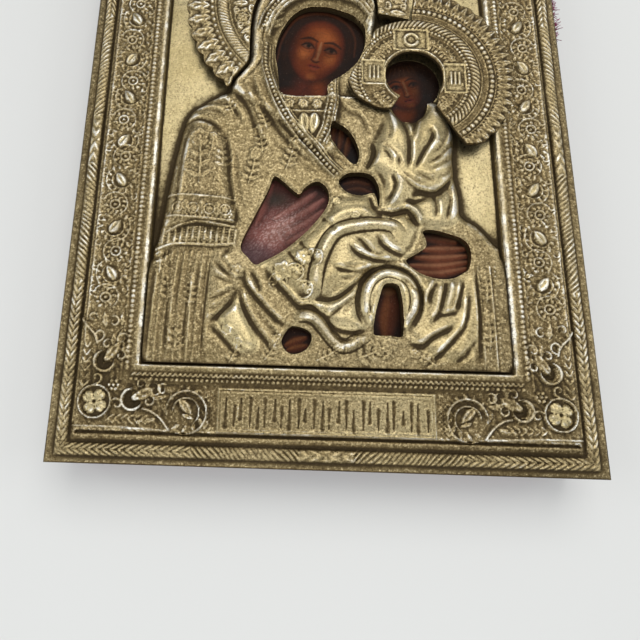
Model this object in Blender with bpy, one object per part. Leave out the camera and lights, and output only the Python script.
"""Icon panel lying on its back: board, velvet back, pressed brass cover, two haloes.

The pattern is drawn in pattern units: x to the right and y to the top, with the
origin at the middle of the recessed window's bottom edge. The panel is 544 units
wide and 692 units tall. Heights are in metres above the board's painted front.
"""
import math

import bmesh
import bpy
import numpy as np

# Driving dimensions, metres
PANEL_W = 0.1780
PANEL_H = 0.2264
BOARD_T = 0.0192
VELVET_T = 0.0009
GAP = 0.0003
SHEET = 0.0005
SKIRT_T = 0.0006
SKIRT_DROP = 0.0045
FRAME_RISE = 0.0030
FIGURE_RISE = 0.0056
HALO_T = 0.0010
RELIEF_STEP = 0.0010
COVER_FACES = 4600

# Pattern size in units
UNITS_W = 544.0
UNITS_H = 692.0
MID_Y = 247.0
U = PANEL_W / UNITS_W
V = PANEL_H / UNITS_H

# Levels, metres above the floor
BACK_TOP = VELVET_T + GAP
FRONT = BACK_TOP + BOARD_T
COVER_UNDER = FRONT + GAP
FIELD = COVER_UNDER + SHEET
SKIRT_END = COVER_UNDER - SKIRT_DROP
HALO_LOW = FIELD + GAP
HALO_OVER = FIELD + FRAME_RISE * 1.02 + 2.0 * GAP
CHILD_UNDER = HALO_OVER + 0.0002
COVER_PEAK = FIELD + 1.25 * (FRAME_RISE + FIGURE_RISE)

# Outlines in pattern units
MOTHER_CENTRE = (-9.0, 427.0)
CHILD_CENTRE = (97.0, 342.0)
WINDOW = (-183.0, 183.0, 0.0, 498.0)

BODY = [(-183, 0), (-183, 108), (-182, 130), (-180, 160), (-176, 200), (-170, 240),
        (-163, 265), (-150, 285), (-130, 300), (-108, 313), (-70, 345), (0, 400),
        (60, 390), (78, 335), (100, 310), (125, 303), (133, 290), (140, 270),
        (142, 255), (139, 235), (140, 205), (143, 168), (160, 155), (178, 133),
        (183, 120), (183, 0)]
VEIL = [(-108, 313), (-89, 345), (-88, 370), (-87, 400), (-84, 420), (-75, 445),
        (-60, 468), (-37, 484), (-9, 491), (20, 485), (41, 469), (53, 448),
        (58, 425), (57, 405), (52, 385), (40, 371), (28, 356), (15, 338),
        (13, 285), (8, 232), (-30, 250), (-70, 285)]
ARM = [(-181, 112), (-182, 130), (-180, 160), (-176, 200), (-170, 240), (-160, 266),
       (-143, 276), (-125, 271), (-112, 258), (-105, 235), (-99, 200), (-92, 165),
       (-93, 142), (-105, 146), (-122, 147), (-140, 150), (-150, 146), (-166, 137),
       (-168, 118)]
CUFF = [(-180, 110), (-166, 136), (-150, 144), (-140, 148), (-105, 142), (-92, 128),
        (-99, 122), (-118, 119), (-140, 121), (-160, 118)]
LEFT_DRAPE = [(-183, 0), (-181, 106), (-170, 112), (-150, 119), (-120, 120),
              (-122, 40), (-124, 0)]
TONGUE = [(-91, 68), (-113, 50), (-104, 30), (-84, 12), (-71, 12), (-66, 22),
          (-75, 42), (-85, 62)]
LAP = [(-73, 104), (-45, 121), (-25, 139), (-10, 156), (0, 170), (8, 182), (22, 187),
       (48, 187), (57, 168), (84, 170), (98, 154), (100, 148), (84, 116), (60, 108),
       (20, 78), (-15, 62), (-40, 76), (-60, 98)]
KNEE = [(-27, 66), (-16, 98), (-6, 128), (8, 147), (25, 151), (50, 157), (70, 156),
        (81, 148), (84, 135), (80, 119), (55, 112), (40, 100), (20, 85), (0, 72)]
FAN = [(-20, 66), (0, 72), (30, 92), (50, 108), (40, 98), (32, 72), (34, 54),
       (42, 42), (30, 36), (10, 40), (-4, 50)]
HEM = [(-34, 42), (-28, 60), (-12, 60), (-2, 50), (8, 34), (18, 27), (30, 28),
       (44, 38), (34, 26), (18, 17), (4, 22), (-10, 36), (-22, 42)]
RING = [(43, 42), (35, 56), (34, 72), (40, 90), (55, 103), (70, 104), (84, 97),
        (95, 80), (96, 66), (90, 50), (79, 38)]
RIGHT_SLEEVE = [(84, 28), (80, 40), (97, 62), (99, 80), (88, 102), (100, 98),
                (118, 93), (150, 98), (153, 60), (151, 30), (140, 10), (120, 8),
                (100, 14)]
RIGHT_STRIP = [(153, 0), (154, 60), (152, 105), (147, 143), (157, 146), (170, 137),
               (183, 118), (183, 0)]
TORSO = [(66, 296), (82, 283), (90, 277), (100, 282), (118, 302), (130, 292),
         (138, 275), (141, 258), (139, 235), (138, 215), (130, 200), (118, 188),
         (100, 186), (84, 172), (60, 167), (57, 200), (48, 212), (44, 225),
         (50, 240), (50, 252), (58, 270)]
SIDE_GOWN = [(84, 170), (100, 186), (118, 188), (132, 202), (138, 214), (143, 168),
             (130, 150), (101, 150)]

# Openings over the painted parts
FACE_HOLE = [(-51, 313), (-26, 311), (-1, 313), (0, 330), (20, 350), (35, 367),
             (44, 382), (45, 395), (42, 408), (30, 420), (10, 428), (-10, 430),
             (-25, 428), (-40, 417), (-50, 400), (-57, 385), (-59, 370),
             (-56, 352), (-53, 333)]
HAND_HOLE = [(-90, 124), (-80, 150), (-70, 172), (-62, 190), (-58, 203), (-54, 205),
             (-45, 198), (-30, 185), (-24, 192), (-15, 199), (-7, 200), (1, 192),
             (3, 181), (0, 170), (-10, 155), (-25, 138), (-45, 120), (-65, 108),
             (-74, 104), (-82, 112)]
CHILD_HAND_HOLE = [(4, 255), (4, 272), (8, 279), (18, 276), (27, 265), (34, 248),
                   (36, 235), (32, 223), (25, 227), (13, 243)]
DARK_HOLE = [(13, 199), (17, 207), (26, 212), (42, 212), (51, 207), (56, 196),
             (57, 183), (55, 172), (51, 188), (38, 185), (23, 188)]
LEFT_HAND_HOLE = [(82, 113), (92, 120), (103, 128), (104, 136), (101, 146),
                  (112, 148), (128, 144), (142, 139), (149, 130), (150, 118),
                  (147, 106), (141, 101), (130, 95), (115, 94), (100, 98), (89, 104)]
ARCH_HOLE = [(47, 36), (48, 52), (53, 72), (58, 85), (66, 87), (73, 84), (76, 70),
             (77, 52), (77, 36), (74, 32), (62, 33), (50, 33)]
FOOT_HOLE = [(-45, 25), (-41, 34), (-35, 40), (-25, 39), (-16, 34), (-15, 26),
             (-20, 17), (-30, 12), (-38, 13), (-43, 18)]

# Folds as lines in the relief: points, half width in units, depth as a share of the rise
FOLDS = [
    ([(83, 283), (88, 262), (90, 245), (89, 225), (86, 212)], 4.0, 0.20),
    ([(101, 282), (96, 262), (92, 245)], 3.5, 0.16),
    ([(118, 262), (113, 248), (105, 235), (94, 213)], 4.0, 0.20),
    ([(139, 250), (130, 240), (120, 228), (108, 220)], 4.0, 0.14),
    ([(75, 210), (85, 200), (97, 193), (110, 190), (120, 193), (131, 204), (138, 218)], 4.5, 0.24),
    ([(70, 212), (74, 197), (70, 185), (65, 174)], 4.0, 0.18),
    ([(50, 250), (53, 235), (48, 222), (42, 213)], 4.0, 0.20),
    ([(58, 250), (70, 238), (77, 228), (79, 215)], 3.5, 0.12),
    ([(54, 168), (70, 166), (85, 170), (93, 160), (98, 152)], 4.5, 0.26),
    ([(132, 200), (133, 185), (130, 170), (127, 155)], 4.0, 0.16),
    ([(115, 188), (117, 175), (116, 160)], 3.5, 0.12),
    ([(22, 130), (30, 120), (45, 114), (60, 112), (78, 113)], 4.5, 0.26),
    ([(31, 137), (40, 128), (48, 118)], 3.5, 0.16),
    ([(52, 140), (58, 128), (70, 122), (80, 119)], 4.0, 0.20),
    ([(4, 104), (20, 100), (35, 100), (50, 108)], 4.0, 0.20),
    ([(-6, 67), (10, 72), (25, 83), (40, 98), (52, 107)], 4.5, 0.28),
    ([(0, 50), (15, 62), (30, 75)], 4.0, 0.18),
    ([(0, 48), (10, 39), (25, 36), (42, 38)], 4.0, 0.22),
    ([(41, 43), (33, 56), (31, 71), (35, 87), (44, 99), (56, 106), (70, 107), (84, 101),
      (93, 89), (98, 72), (93, 54), (82, 40)], 3.5, 0.26),
    ([(99, 68), (107, 82), (112, 90)], 3.5, 0.14),
    ([(103, 46), (112, 58), (117, 75), (121, 92)], 4.0, 0.22),
    ([(128, 58), (134, 75), (139, 94)], 5.0, 0.26),
    ([(96, 5), (110, 15), (125, 30), (137, 45), (142, 65), (144, 92)], 3.5, 0.16),
    ([(80, 27), (95, 25), (105, 33), (118, 40), (128, 46)], 4.0, 0.26),
    ([(150, 2), (154, 60), (152, 105)], 3.5, 0.22),
    ([(-84, 97), (-81, 82), (-66, 64), (-50, 47), (-36, 40)], 4.5, 0.26),
    ([(-88, 82), (-85, 65), (-75, 45), (-60, 25), (-50, 12)], 4.0, 0.20),
    ([(-64, 103), (-55, 90), (-40, 74), (-28, 62), (-15, 62), (-4, 51)], 4.5, 0.26),
    ([(-119, 42), (-105, 28), (-92, 15), (-82, 8)], 4.0, 0.22),
    ([(-122, 41), (-112, 49), (-100, 63), (-90, 80)], 4.5, 0.24),
    ([(-122, 66), (-105, 73), (-90, 81)], 4.0, 0.18),
    ([(-115, 108), (-105, 97), (-92, 83)], 4.0, 0.18),
    ([(-120, 118), (-122, 80), (-124, 40), (-124, 2)], 4.0, 0.16),
    ([(-140, 118), (-142, 60), (-142, 2)], 3.5, 0.10),
    ([(-152, 118), (-159, 95), (-160, 50), (-160, 2)], 3.5, 0.12),
    ([(-160, 118), (-170, 110), (-181, 107)], 4.0, 0.18),
    ([(-160, 265), (-150, 271), (-138, 272), (-125, 267), (-115, 257)], 4.0, 0.16),
    ([(-157, 262), (-165, 238), (-169, 205), (-169, 165), (-166, 137)], 3.5, 0.12),
    ([(-112, 255), (-106, 230), (-104, 200), (-98, 170), (-92, 145)], 4.5, 0.18),
    ([(-150, 285), (-138, 294), (-118, 297), (-103, 288), (-92, 268)], 4.5, 0.14),
    ([(-108, 312), (-95, 300), (-85, 285), (-76, 260), (-62, 238)], 4.5, 0.14),
    ([(-86, 340), (-80, 310), (-68, 285), (-50, 258), (-30, 235), (-5, 212)], 4.0, 0.12),
    ([(-166, 137), (-155, 143), (-147, 149), (-135, 150), (-120, 146), (-104, 145)], 3.5, 0.20),
]

# Raised bands along lines: points, half width, rise as a share
BANDS = [
    ([(-69, 372), (-69, 345), (-65, 325), (-57, 300), (-45, 275), (-30, 255), (-10, 232),
      (0, 220), (11, 209)], 8.0, 0.16),
    ([(43, 380), (35, 369), (25, 356), (15, 345), (8, 338), (6, 325), (6, 310), (5, 295),
      (2, 280), (-1, 262), (-8, 246)], 7.5, 0.14),
    ([(-103, 322), (-83, 350), (-82, 375), (-81, 400), (-77, 422), (-69, 443), (-54, 463),
      (-33, 477), (-9, 484), (18, 478), (36, 464), (47, 446), (51, 425), (51, 408)], 8.0, 0.14),
    ([(-62, 330), (-66, 360), (-66, 388), (-55, 408), (-42, 424), (-24, 435), (-8, 437),
      (14, 434), (34, 424), (47, 410)], 7.0, 0.20),
    ([(-14, 74), (-9, 105), (3, 134), (20, 146), (50, 151), (68, 149), (76, 140)], 8.0, 0.16),
    ([(43, 44), (37, 57), (37, 73), (44, 90), (58, 99), (72, 98), (85, 90), (90, 76),
      (89, 60), (82, 46)], 7.0, 0.16),
    ([(-30, 52), (-14, 50), (-2, 38), (10, 24), (22, 22), (40, 34)], 7.5, 0.18),
    ([(58, 247), (68, 238), (76, 226)], 5.0, 0.10),
    ([(84, 175), (92, 168), (99, 156)], 5.0, 0.14),
]


def smooth_line(points, parts=4, closed=False):
    """Return a rounder line through the points."""
    pts = [np.array(p, dtype=float) for p in points]
    count = len(pts)
    spans = count if closed else count - 1
    out = []
    for i in range(spans):
        if closed:
            a, b, c, d = (pts[(i + k) % count] for k in (-1, 0, 1, 2))
        else:
            b, c = pts[i], pts[i + 1]
            a = pts[i - 1] if i > 0 else 2 * b - c
            d = pts[i + 2] if i + 2 < count else 2 * c - b
        for k in range(parts):
            t = k / parts
            out.append(0.5 * (2 * b + (c - a) * t + (2 * a - 5 * b + 4 * c - d) * t * t
                              + (3 * b - 3 * c + d - a) * t ** 3))
    if not closed:
        out.append(pts[-1])
    return [tuple(p) for p in out]


def line_distance(px, py, points):
    """Distance from each grid point to a line, and how far along the line it is (0 to 1)."""
    best = np.full(px.shape, 1e9)
    along = np.zeros(px.shape)
    lengths = [math.dist(a, b) for a, b in zip(points[:-1], points[1:])]
    total = max(sum(lengths), 1e-9)
    run = 0.0
    for (x0, y0), (x1, y1), length in zip(points[:-1], points[1:], lengths):
        dx, dy = x1 - x0, y1 - y0
        t = ((px - x0) * dx + (py - y0) * dy) / max(length * length, 1e-12)
        t = np.clip(t, 0.0, 1.0)
        dist = np.hypot(px - x0 - t * dx, py - y0 - t * dy)
        near = dist < best
        best = np.where(near, dist, best)
        along = np.where(near, (run + t * length) / total, along)
        run += length
    return best, along


def inside_distance(px, py, polygon):
    """Signed distance to a closed outline, positive inside."""
    closed = list(polygon) + [polygon[0]]
    dist, _ = line_distance(px, py, closed)
    inside = np.zeros(px.shape, dtype=bool)
    for (x0, y0), (x1, y1) in zip(closed[:-1], closed[1:]):
        if y0 == y1:
            continue
        crosses = (y0 > py) != (y1 > py)
        inside ^= crosses & (px < (x1 - x0) * (py - y0) / (y1 - y0) + x0)
    return np.where(inside, dist, -dist)


class Relief:
    """A grid of heights over the panel, worked in pattern units and shares of the rise."""

    def __init__(self, step):
        cols = int(round(PANEL_W / step))
        rows = int(round(PANEL_H / step))
        self.xs = np.linspace(-UNITS_W / 2, UNITS_W / 2, cols + 1)
        self.ys = np.linspace(MID_Y - UNITS_H / 2, MID_Y + UNITS_H / 2, rows + 1)
        self.px, self.py = np.meshgrid(self.xs, self.ys)
        self.h = np.zeros(self.px.shape)

    def window(self, points, reach):
        """Slices of the grid around some points."""
        xs = [p[0] for p in points]
        ys = [p[1] for p in points]
        i0, i1 = np.searchsorted(self.xs, (min(xs) - reach, max(xs) + reach))
        j0, j1 = np.searchsorted(self.ys, (min(ys) - reach, max(ys) + reach))
        return slice(j0, j1), slice(i0, i1)

    def dome(self, outline, top, edge, foot=0.0):
        """Raise a rounded form over an outline."""
        line = smooth_line(outline, 3, closed=True)
        win = self.window(line, 2.0)
        dist = inside_distance(self.px[win], self.py[win], line)
        share = np.clip(dist / edge, 0.0, 1.0)
        form = foot + (top - foot) * np.sqrt(np.clip(1.0 - (1.0 - share) ** 2, 0.0, 1.0))
        self.h[win] = np.where(dist > 0.0, np.maximum(self.h[win], form), self.h[win])

    def band(self, points, half, rise):
        """Raise (or, with a negative rise, cut) a soft band along a line, tapered at its ends."""
        line = smooth_line(points, 3)
        win = self.window(line, half)
        dist, along = line_distance(self.px[win], self.py[win], line)
        share = np.clip(1.0 - (dist / half) ** 2, 0.0, 1.0) ** 1.5
        ends = np.clip(np.minimum(along, 1.0 - along) * 8.0 + 0.35, 0.0, 1.0)
        self.h[win] += rise * share * ends


def frame_share(px, py):
    """Height of the border as a share of the frame's rise, by distance from the outer edge."""
    side = UNITS_W / 2 - np.abs(px)
    low = py - (MID_Y - UNITS_H / 2)
    high = (MID_Y + UNITS_H / 2) - py
    rope = lambda e, mid, half: 0.62 * np.sqrt(np.clip(1 - ((e - mid) / half) ** 2, 0, 1))
    side_at = [0, 8, 10, 22, 24, 28, 30, 70, 73, 77, 79, 84, 87, 89.5, 500]
    side_h = [0.0, 0.0, 0.1, 0.1, 0.18, 0.55, 0.72, 0.74, 0.84, 0.95, 0.9, 1.0, 0.96, 0.0, 0.0]
    low_at = [0, 6, 8, 20, 22, 29, 30, 33, 36, 77, 82, 84, 88, 90, 96, 99.5, 500]
    low_h = [0.0, 0.0, 0.1, 0.1, 0.3, 0.55, 0.3, 0.3, 0.74, 0.76, 0.84, 0.95, 0.95, 0.88, 1.0,
             0.0, 0.0]
    by_side = np.interp(side, side_at, side_h)
    by_side = np.maximum(by_side, np.where(np.abs(side - 16) < 6.5, 0.1 + rope(side, 16, 6.5), 0))
    by_low = np.interp(low, low_at, low_h)
    by_low = np.maximum(by_low, np.where(np.abs(low - 13.5) < 7, 0.1 + rope(low, 13.5, 7), 0))
    by_high = np.interp(high * 99.0 / 95.0, low_at, low_h)
    top_rope = np.abs(high - 13.0) < 7
    by_high = np.maximum(by_high, np.where(top_rope, 0.1 + rope(high, 13.0, 7), 0))
    near_side = side / 89.0
    near_low = low / 99.0
    near_high = high / 95.0
    out = np.where(near_low < near_side, by_low, by_side)
    return np.where((near_high < near_side) & (near_high < near_low), by_high, out)


def cover_heights():
    """Heights of the cover's face above the board front, in metres, on the grid."""
    grid = Relief(RELIEF_STEP)
    grid.dome(BODY, 0.50, 16)
    grid.dome(VEIL, 0.62, 22)
    grid.dome(LEFT_DRAPE, 0.52, 12)
    grid.dome(CUFF, 0.60, 12)
    grid.dome(ARM, 0.72, 24)
    grid.dome(LAP, 0.74, 20)
    grid.dome(FAN, 0.72, 12)
    grid.dome(KNEE, 0.86, 26)
    grid.dome(TONGUE, 0.68, 12)
    grid.dome(HEM, 0.66, 9)
    grid.dome(RING, 0.76, 12)
    grid.dome(RIGHT_SLEEVE, 0.64, 14)
    grid.dome(RIGHT_STRIP, 0.50, 8)
    grid.dome(SIDE_GOWN, 0.66, 12)
    grid.dome(TORSO, 0.90, 26)
    for points, half, rise in BANDS:
        grid.band(points, half, rise)
    for points, half, depth in FOLDS:
        grid.band(points, half, -depth)
    figure = np.clip(grid.h, 0.0, 1.2) * FIGURE_RISE
    x0, x1, y0, y1 = WINDOW
    in_window = (grid.px > x0) & (grid.px < x1) & (grid.py > y0) & (grid.py < y1)
    heights = np.where(in_window, figure, 0.0)
    heights = np.maximum(heights, frame_share(grid.px, grid.py) * FRAME_RISE)
    return grid, heights


def new_object(name, verts, faces):
    """Make a mesh object from points and faces."""
    mesh = bpy.data.meshes.new(name)
    mesh.from_pydata([tuple(v) for v in verts], [], faces)
    mesh.update()
    obj = bpy.data.objects.new(name, mesh)
    bpy.context.scene.collection.objects.link(obj)
    return obj


def face_outwards(obj):
    """Turn all faces outwards and cut them into triangles."""
    bm = bmesh.new()
    bm.from_mesh(obj.data)
    bmesh.ops.triangulate(bm, faces=bm.faces[:], ngon_method='EAR_CLIP')
    bmesh.ops.recalc_face_normals(bm, faces=bm.faces[:])
    bm.to_mesh(obj.data)
    bm.free()


def give_material(obj, name, colour, rough, metal):
    """Give an object its own Principled material."""
    mat = bpy.data.materials.new(name)
    mat.use_nodes = True
    shader = mat.node_tree.nodes["Principled BSDF"]
    shader.inputs["Base Color"].default_value = (*colour, 1.0)
    shader.inputs["Roughness"].default_value = rough
    shader.inputs["Metallic"].default_value = metal
    obj.data.materials.clear()
    obj.data.materials.append(mat)


def evaluated_copy(obj):
    """Replace an object's mesh with its evaluated mesh and drop its modifiers."""
    graph = bpy.context.evaluated_depsgraph_get()
    graph.update()
    mesh = bpy.data.meshes.new_from_object(obj.evaluated_get(graph))
    obj.modifiers.clear()
    obj.data = mesh


def place(x, y):
    """Pattern units to metres on the panel."""
    return x * U, (y - MID_Y) * V


def prism(name, outline, low, high, grow=0.0):
    """A cutter: an upright prism over an outline in pattern units, grown by a distance."""
    pts = [np.array(place(*p)) for p in outline]
    area = sum(a[0] * b[1] - b[0] * a[1] for a, b in zip(pts, pts[1:] + pts[:1]))
    if area < 0:
        pts.reverse()
    if grow:
        grown = []
        for a, b, c in zip(pts[-1:] + pts[:-1], pts, pts[1:] + pts[:1]):
            out = np.array([c[1] - a[1], a[0] - c[0]])
            grown.append(b + out / max(np.hypot(*out), 1e-9) * grow)
        pts = grown
    count = len(pts)
    verts = [(p[0], p[1], low) for p in pts] + [(p[0], p[1], high) for p in pts]
    faces = [list(range(count))[::-1], list(range(count, 2 * count))]
    faces += [[i, (i + 1) % count, count + (i + 1) % count, count + i] for i in range(count)]
    obj = new_object(name, verts, faces)
    face_outwards(obj)
    obj.hide_render = True
    obj.display_type = 'WIRE'
    return obj


def cut(obj, cutters):
    """Cut a row of prisms out of an object, then remove the cutters."""
    for cutter in cutters:
        mod = obj.modifiers.new("cut", 'BOOLEAN')
        mod.operation = 'DIFFERENCE'
        mod.solver = 'EXACT'
        mod.object = cutter
        evaluated_copy(obj)
        bpy.data.objects.remove(cutter, do_unlink=True)


def build_board():
    """The wooden board with its flat painted front."""
    half_w = PANEL_W / 2 - SKIRT_T - GAP - VELVET_T - GAP
    half_h = PANEL_H / 2 - SKIRT_T - GAP - VELVET_T - GAP
    bm = bmesh.new()
    bmesh.ops.create_cube(bm, size=1.0)
    for vert in bm.verts:
        vert.co.x *= 2 * half_w
        vert.co.y *= 2 * half_h
        vert.co.z = BACK_TOP if vert.co.z < 0 else FRONT
    mesh = bpy.data.meshes.new("board")
    bm.to_mesh(mesh)
    bm.free()
    obj = bpy.data.objects.new("board", mesh)
    bpy.context.scene.collection.objects.link(obj)
    bevel = obj.modifiers.new("edge", 'BEVEL')
    bevel.width = 0.0004
    bevel.segments = 1
    give_material(obj, "painted_wood", (0.16, 0.06, 0.03), 0.5, 0.0)
    return obj


def build_velvet():
    """The velvet over the back and up the sides, its edge tucked under the cover's skirt."""
    out_w = PANEL_W / 2 - SKIRT_T - GAP
    out_h = PANEL_H / 2 - SKIRT_T - GAP
    top = SKIRT_END + 0.35 * SKIRT_DROP
    rings = [(out_w, out_h, 0.0), (out_w, out_h, top),
             (out_w - VELVET_T, out_h - VELVET_T, top),
             (out_w - VELVET_T, out_h - VELVET_T, VELVET_T)]
    verts = []
    for w, h, z in rings:
        verts += [(-w, -h, z), (w, -h, z), (w, h, z), (-w, h, z)]
    faces = [[3, 2, 1, 0], [12, 13, 14, 15]]
    for r in range(3):
        a, b = 4 * r, 4 * r + 4
        faces += [[a + i, a + (i + 1) % 4, b + (i + 1) % 4, b + i] for i in range(4)]
    obj = new_object("velvet_back", verts, faces)
    face_outwards(obj)
    give_material(obj, "velvet", (0.20, 0.01, 0.07), 0.95, 0.0)
    return obj


def build_cover():
    """The pressed brass cover: relief face, flat underside and a skirt down the sides."""
    grid, heights = cover_heights()
    rows, cols = heights.shape
    verts = []
    for j in range(rows):
        for i in range(cols):
            x, y = place(grid.xs[i], grid.ys[j])
            verts.append((x, y, FIELD + heights[j, i]))
    at = lambda i, j: j * cols + i
    faces = [[at(i, j), at(i + 1, j), at(i + 1, j + 1), at(i, j + 1)]
             for j in range(rows - 1) for i in range(cols - 1)]
    edge = [at(i, 0) for i in range(cols)] + [at(cols - 1, j) for j in range(1, rows)]
    edge += [at(i, rows - 1) for i in range(cols - 2, -1, -1)]
    edge += [at(0, j) for j in range(rows - 2, 0, -1)]
    w, h = PANEL_W / 2, PANEL_H / 2
    base = len(verts)
    for dx, dy, z in ((w, h, SKIRT_END), (w - SKIRT_T, h - SKIRT_T, SKIRT_END),
                      (w - SKIRT_T, h - SKIRT_T, COVER_UNDER)):
        verts += [(-dx, -dy, z), (dx, -dy, z), (dx, dy, z), (-dx, dy, z)]
    corner = [at(0, 0), at(cols - 1, 0), at(cols - 1, rows - 1), at(0, rows - 1)]
    for k in range(4):
        a = edge.index(corner[k])
        b = edge.index(corner[(k + 1) % 4]) if k < 3 else len(edge)
        run = (edge + edge[:1])[a:b + 1]
        faces.append([base + k] + [base + (k + 1) % 4] + run[::-1])
    for r in (0, 4):
        faces += [[base + r + 4 + k, base + r + 4 + (k + 1) % 4, base + r + (k + 1) % 4,
                   base + r + k] for k in range(4)]
    faces.append([base + 8, base + 11, base + 10, base + 9])
    obj = new_object("cover", verts, faces)
    face_outwards(obj)
    thin = obj.modifiers.new("fewer_faces", 'DECIMATE')
    thin.ratio = COVER_FACES / len(obj.data.polygons)
    evaluated_copy(obj)
    low, high = SKIRT_END - 0.01, COVER_PEAK + 0.01
    head_hole = [(CHILD_CENTRE[0] + 36 * math.cos(math.radians(a)),
                  CHILD_CENTRE[1] + 36 * math.sin(math.radians(a)))
                 for a in range(-50, 236, 15)]
    head_hole += [(80, 305), (82, 284), (90, 279), (99, 283), (108, 290), (116, 303)]
    holes = [FACE_HOLE, HAND_HOLE, CHILD_HAND_HOLE, DARK_HOLE, LEFT_HAND_HOLE,
             ARCH_HOLE, FOOT_HOLE]
    cutters = [prism("hole", smooth_line(hole, 2, closed=True), low, high) for hole in holes]
    cutters.append(prism("hole", head_hole, low, high))
    wide, tall = mother_footprint()
    cutters.append(prism("seat", wide, HALO_LOW - GAP * 0.98, high, grow=0.00035))
    cutters.append(prism("seat", child_outline(), CHILD_UNDER - GAP, high, grow=0.00035))
    cut(obj, cutters)
    give_material(obj, "brass_cover", (0.42, 0.33, 0.16), 0.42, 1.0)
    return obj


def child_radii(angle):
    """Inner and outer radius of the child's halo at an angle in degrees from -57 to 237."""
    at = [-57.5, -55, -51, -46, -40, 0, 30, 87.6, 89.9, 125, 143.7, 155, 167, 178, 186, 200,
          207, 215, 222, 234, 237.5]
    out = [100, 106, 108, 107, 109, 112, 113, 114, 73.5, 73.5, 61.5, 62, 64, 70, 75, 73, 70,
           66, 63, 56, 52]
    radius = float(np.interp(angle, at, out))
    if angle < 89:
        radius += 3.2 * (abs(math.sin(math.radians(angle * 18.0 + 20))) - 0.6)
    inner = float(np.interp(angle, [-57.5, -45, -30, 200, 225, 237.5],
                            [43, 37, 33, 33, 31, 27]))
    return inner, radius


def child_outline():
    """Outer outline of the child's halo, closed across its neck opening."""
    pts = []
    for angle in np.arange(-57.5, 237.6, 2.5):
        _, r = child_radii(float(angle))
        a = math.radians(angle)
        pts.append((CHILD_CENTRE[0] + r * math.cos(a), CHILD_CENTRE[1] + r * math.sin(a)))
    pts.append((CHILD_CENTRE[0], CHILD_CENTRE[1] - 20))
    return pts


def ray_to(outline, centre, angle):
    """How far a ray from a point inside runs to the outline, nearest crossing."""
    dx, dy = math.cos(math.radians(angle)), math.sin(math.radians(angle))
    best = 1e9
    closed = list(outline) + [outline[0]]
    for (x0, y0), (x1, y1) in zip(closed[:-1], closed[1:]):
        ex, ey = x1 - x0, y1 - y0
        det = ex * dy - ey * dx
        if abs(det) < 1e-12:
            continue
        ax, ay = x0 - centre[0], y0 - centre[1]
        t = (ex * ay - ey * ax) / det
        s = (dx * ay - dy * ax) / det
        if t > 0 and 0 <= s <= 1:
            best = min(best, t)
    return best


HALO_START = -12.0
HALO_END = 228.5


def mother_radii(angle):
    """Inner and outer radius of the mother's halo at an angle in degrees."""
    veil = smooth_line(VEIL, 3, closed=True)
    inner = ray_to(veil, MOTHER_CENTRE, angle) + 2.2
    outer = 153.5 + 4.0 * (abs(math.sin(math.radians(angle * 24.0))) - 0.6)
    blocked = ray_to([(95.5, 462.5), (95.5, 416)] + [
        (CHILD_CENTRE[0] + 76.5 * math.cos(math.radians(a)),
         CHILD_CENTRE[1] + 76.5 * math.sin(math.radians(a))) for a in range(92, 160, 4)]
        + [(120, 330), (150, 452)], MOTHER_CENTRE, angle)
    return inner, max(inner + 2.0, min(outer, blocked))


def mother_angles():
    """Angles along the mother's halo, four to each leaf."""
    count = 132
    return [HALO_START + (HALO_END - HALO_START) * k / count for k in range(count + 1)]


def mother_footprint():
    """Footprint of the mother's halo in pattern units, and the same list again for its top."""
    outer = []
    inner = []
    for angle in mother_angles():
        r_in, r_out = mother_radii(angle)
        a = math.radians(angle)
        outer.append((MOTHER_CENTRE[0] + r_out * math.cos(a),
                      MOTHER_CENTRE[1] + r_out * math.sin(a)))
        inner.append((MOTHER_CENTRE[0] + r_in * math.cos(a),
                      MOTHER_CENTRE[1] + r_in * math.sin(a)))
    ring = outer + inner[::-1]
    return ring, ring


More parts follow.
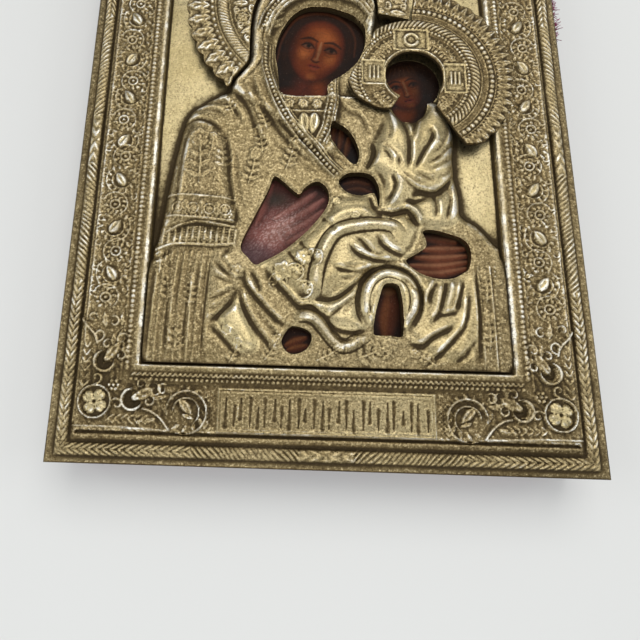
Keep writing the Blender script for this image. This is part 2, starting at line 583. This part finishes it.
def polar_plate(name, centre, angles, radii, rings, under, face):
    """A plate on a polar grid: rings of points on its face and two rings on its underside."""
    verts = []
    cols = len(rings)
    for angle in angles:
        r_in, r_out = radii(angle)
        a = math.radians(angle)
        spots = [min(max(r, r_in), r_out) if r is not None else None for r in rings]
        spots[0], spots[-1] = r_in, r_out
        for k in range(1, cols - 1):
            room = (r_out - r_in) * k / (cols - 1)
            if spots[k] <= r_in + 1.0 or spots[k] >= r_out - 1.0:
                spots[k] = r_in + room
        spots.sort()
        for r in spots:
            x, y = centre[0] + r * math.cos(a), centre[1] + r * math.sin(a)
            verts.append((*place(x, y), face(r, r_in, r_out, x, y)))
        for r in (r_in, r_out):
            x, y = centre[0] + r * math.cos(a), centre[1] + r * math.sin(a)
            verts.append((*place(x, y), under(x, y)))
    step = cols + 2
    faces = []
    for n in range(len(angles) - 1):
        a, b = n * step, (n + 1) * step
        for k in range(cols - 1):
            faces.append([a + k, a + k + 1, b + k + 1, b + k])
        faces.append([a + cols, b + cols, b + cols + 1, a + cols + 1])
        faces.append([a, b, b + cols, a + cols])
        faces.append([a + cols - 1, a + cols + 1, b + cols + 1, b + cols - 1])
    for n in (0, len(angles) - 1):
        a = n * step
        faces.append(list(range(a, a + cols)) + [a + cols + 1, a + cols])
    obj = new_object(name, verts, faces)
    face_outwards(obj)
    return obj


def build_mother_halo():
    """The large halo behind the mother's head: plain-cut plate with a rope ring and leaf edge."""
    def under(x, y):
        return HALO_LOW

    def face(r, r_in, r_out, x, y):
        rope = 0.0009 * max(0.0, 1.0 - ((r - 113.0) / 7.0) ** 2)
        lip = -0.0004 if r > r_out - 1.0 else 0.0
        return HALO_OVER + HALO_T + rope + lip

    rings = [0, 106.5, 113, 119.5, 160]
    obj = polar_plate("halo_mother", MOTHER_CENTRE, mother_angles(), mother_radii, rings,
                      under, face)
    over_frame = [(-200, 486), (200, 486), (200, 640), (-200, 640)]
    cut(obj, [prism("rebate", over_frame, HALO_LOW - 0.01, HALO_OVER)])
    give_material(obj, "brass_halo", (0.40, 0.32, 0.18), 0.42, 1.0)
    return obj


def build_child_halo():
    """The smaller halo around the child's head, lying over the mother's veil and the border."""
    def under(x, y):
        return CHILD_UNDER

    def face(r, r_in, r_out, x, y):
        rope = 0.0007 * max(0.0, 1.0 - ((r - 67.5) / 6.5) ** 2)
        lip = -0.0003 if r > r_out - 1.0 else 0.0
        return CHILD_UNDER + HALO_T + rope + lip

    angles = [-57.5 + 2.5 * k for k in range(119)]
    obj = polar_plate("halo_child", CHILD_CENTRE, angles, child_radii,
                      [0, 61.5, 67.5, 73.5, 120], under, face)
    give_material(obj, "brass_halo_child", (0.42, 0.34, 0.20), 0.40, 1.0)
    return obj


def main():
    """Clear the scene and build every piece."""
    for obj in list(bpy.data.objects):
        bpy.data.objects.remove(obj, do_unlink=True)
    build_board()
    build_velvet()
    build_cover()
    build_mother_halo()
    build_child_halo()


main()
